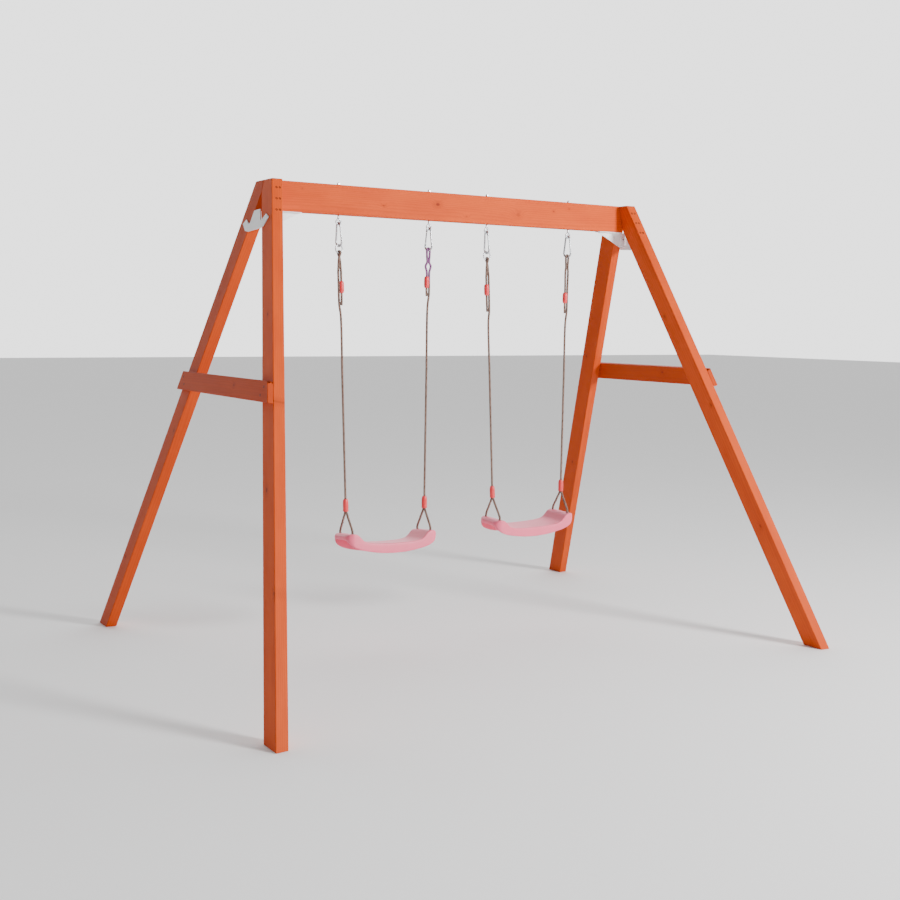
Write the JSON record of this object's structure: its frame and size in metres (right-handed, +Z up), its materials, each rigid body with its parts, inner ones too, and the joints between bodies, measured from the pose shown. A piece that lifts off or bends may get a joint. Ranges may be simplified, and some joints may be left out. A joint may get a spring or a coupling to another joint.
{
  "type": "swing set",
  "caption": "Timber garden swing set: a beam on splayed A-frames, with moulded seats on ropes hung by spring-gate carabiners from eye bolts.",
  "frame": {"origin": "on the ground, under the middle of the beam", "axes": "+X along the beam to the right seen from the front, -Y to the front, +Z up"},
  "size_m": [2.69, 2.05, 2.012],
  "materials": {
    "timber": "stained softwood, planed, satin",
    "bracket": "white powder coat on folded steel",
    "zinc": "bright zinc plate",
    "rope": "braided polypropylene, brown fleck",
    "rope_mauve": "braided polypropylene, mauve",
    "red_plastic": "moulded red plastic",
    "seat": "moulded pink plastic, fine satin"
  },
  "bodies": {
    "frame": {"leg_left_front": "timber", "leg_left_rear": "timber", "brace_left": "timber", "bracket_left": "bracket", "bracket_bolt_left": "zinc", "leg_right_front": "timber", "leg_right_rear": "timber", "brace_right": "timber", "bracket_right": "bracket", "bracket_bolt_right": "zinc", "beam": "timber", "eye_bolt_left_outer": "zinc", "washer_left_outer": "zinc", "nut_left_outer": "zinc", "eye_bolt_left_inner": "zinc", "washer_left_inner": "zinc", "nut_left_inner": "zinc", "eye_bolt_right_inner": "zinc", "washer_right_inner": "zinc", "nut_right_inner": "zinc", "eye_bolt_right_outer": "zinc", "washer_right_outer": "zinc", "nut_right_outer": "zinc"},
    "swing_left": {"carabiner_left_outer": "zinc", "ring_left_outer": "zinc", "rope_left_outer": "rope", "collar_left_outer": "red_plastic", "bridle_left_outer_front": "rope", "bridle_left_outer_rear": "rope", "carabiner_left_inner": "zinc", "rope_left_inner": "rope_mauve", "collar_left_inner": "red_plastic", "bridle_left_inner_front": "rope", "bridle_left_inner_rear": "rope", "seat_left": "seat"},
    "swing_right": {"carabiner_right_inner": "zinc", "ring_right_inner": "zinc", "rope_right_inner": "rope", "collar_right_inner": "red_plastic", "bridle_right_inner_front": "rope", "bridle_right_inner_rear": "rope", "carabiner_right_outer": "zinc", "rope_right_outer": "rope", "collar_right_outer": "red_plastic", "bridle_right_outer_front": "rope", "bridle_right_outer_rear": "rope", "seat_right": "seat"},
    "gate_left_outer": {"gate_left_outer": "zinc"},
    "adjuster_left_outer": {"adjuster_left_outer": "red_plastic"},
    "gate_left_inner": {"gate_left_inner": "zinc"},
    "adjuster_left_inner": {"adjuster_left_inner": "red_plastic"},
    "gate_right_inner": {"gate_right_inner": "zinc"},
    "adjuster_right_inner": {"adjuster_right_inner": "red_plastic"},
    "gate_right_outer": {"gate_right_outer": "zinc"},
    "adjuster_right_outer": {"adjuster_right_outer": "red_plastic"}
  },
  "joints": [
    {"name": "swing_left", "type": "hinge", "parent": "frame", "child": "swing_left", "pos_m": [-0.3655, 0, 1.8385], "axis": [1, 0, 0], "range_deg": [-45, 45]},
    {"name": "swing_right", "type": "hinge", "parent": "frame", "child": "swing_right", "pos_m": [0.398, 0, 1.8385], "axis": [1, 0, 0], "range_deg": [-45, 45]},
    {"name": "gate_left_outer", "type": "hinge", "parent": "swing_left", "child": "gate_left_outer", "pos_m": [-0.59804, -0.01668, 1.78546], "axis": [-0.9811, -0.1908, -0.0317], "range_deg": [0, 20], "stiffness_Nm_per_rad": 0.4},
    {"name": "gate_left_inner", "type": "hinge", "parent": "swing_left", "child": "gate_left_inner", "pos_m": [-0.16664, 0.01616, 1.78537], "axis": [0.951, 0.309, -0.0068], "range_deg": [0, 20], "stiffness_Nm_per_rad": 0.4},
    {"name": "gate_right_inner", "type": "hinge", "parent": "swing_right", "child": "gate_right_inner", "pos_m": [0.14543, -0.017, 1.78539], "axis": [-0.999, 0, -0.0458], "range_deg": [0, 20], "stiffness_Nm_per_rad": 0.4},
    {"name": "gate_right_outer", "type": "hinge", "parent": "swing_right", "child": "gate_right_outer", "pos_m": [0.60784, -0.01616, 1.78529], "axis": [-0.951, -0.309, 0.0073], "range_deg": [0, 20], "stiffness_Nm_per_rad": 0.4},
    {"name": "adjuster_left_outer", "type": "slide", "parent": "swing_left", "child": "adjuster_left_outer", "axis": [-0.0322, 0, 0.9995], "range_m": [-0.02, 0.02]},
    {"name": "adjuster_left_inner", "type": "slide", "parent": "swing_left", "child": "adjuster_left_inner", "axis": [0.0072, 0, 1], "range_m": [-0.02, 0.012]},
    {"name": "adjuster_right_inner", "type": "slide", "parent": "swing_right", "child": "adjuster_right_inner", "axis": [-0.0458, 0, 0.999], "range_m": [-0.02, 0.02]},
    {"name": "adjuster_right_outer", "type": "slide", "parent": "swing_right", "child": "adjuster_right_outer", "axis": [0.0077, 0, 1], "range_m": [-0.02, 0.02]}
  ]
}
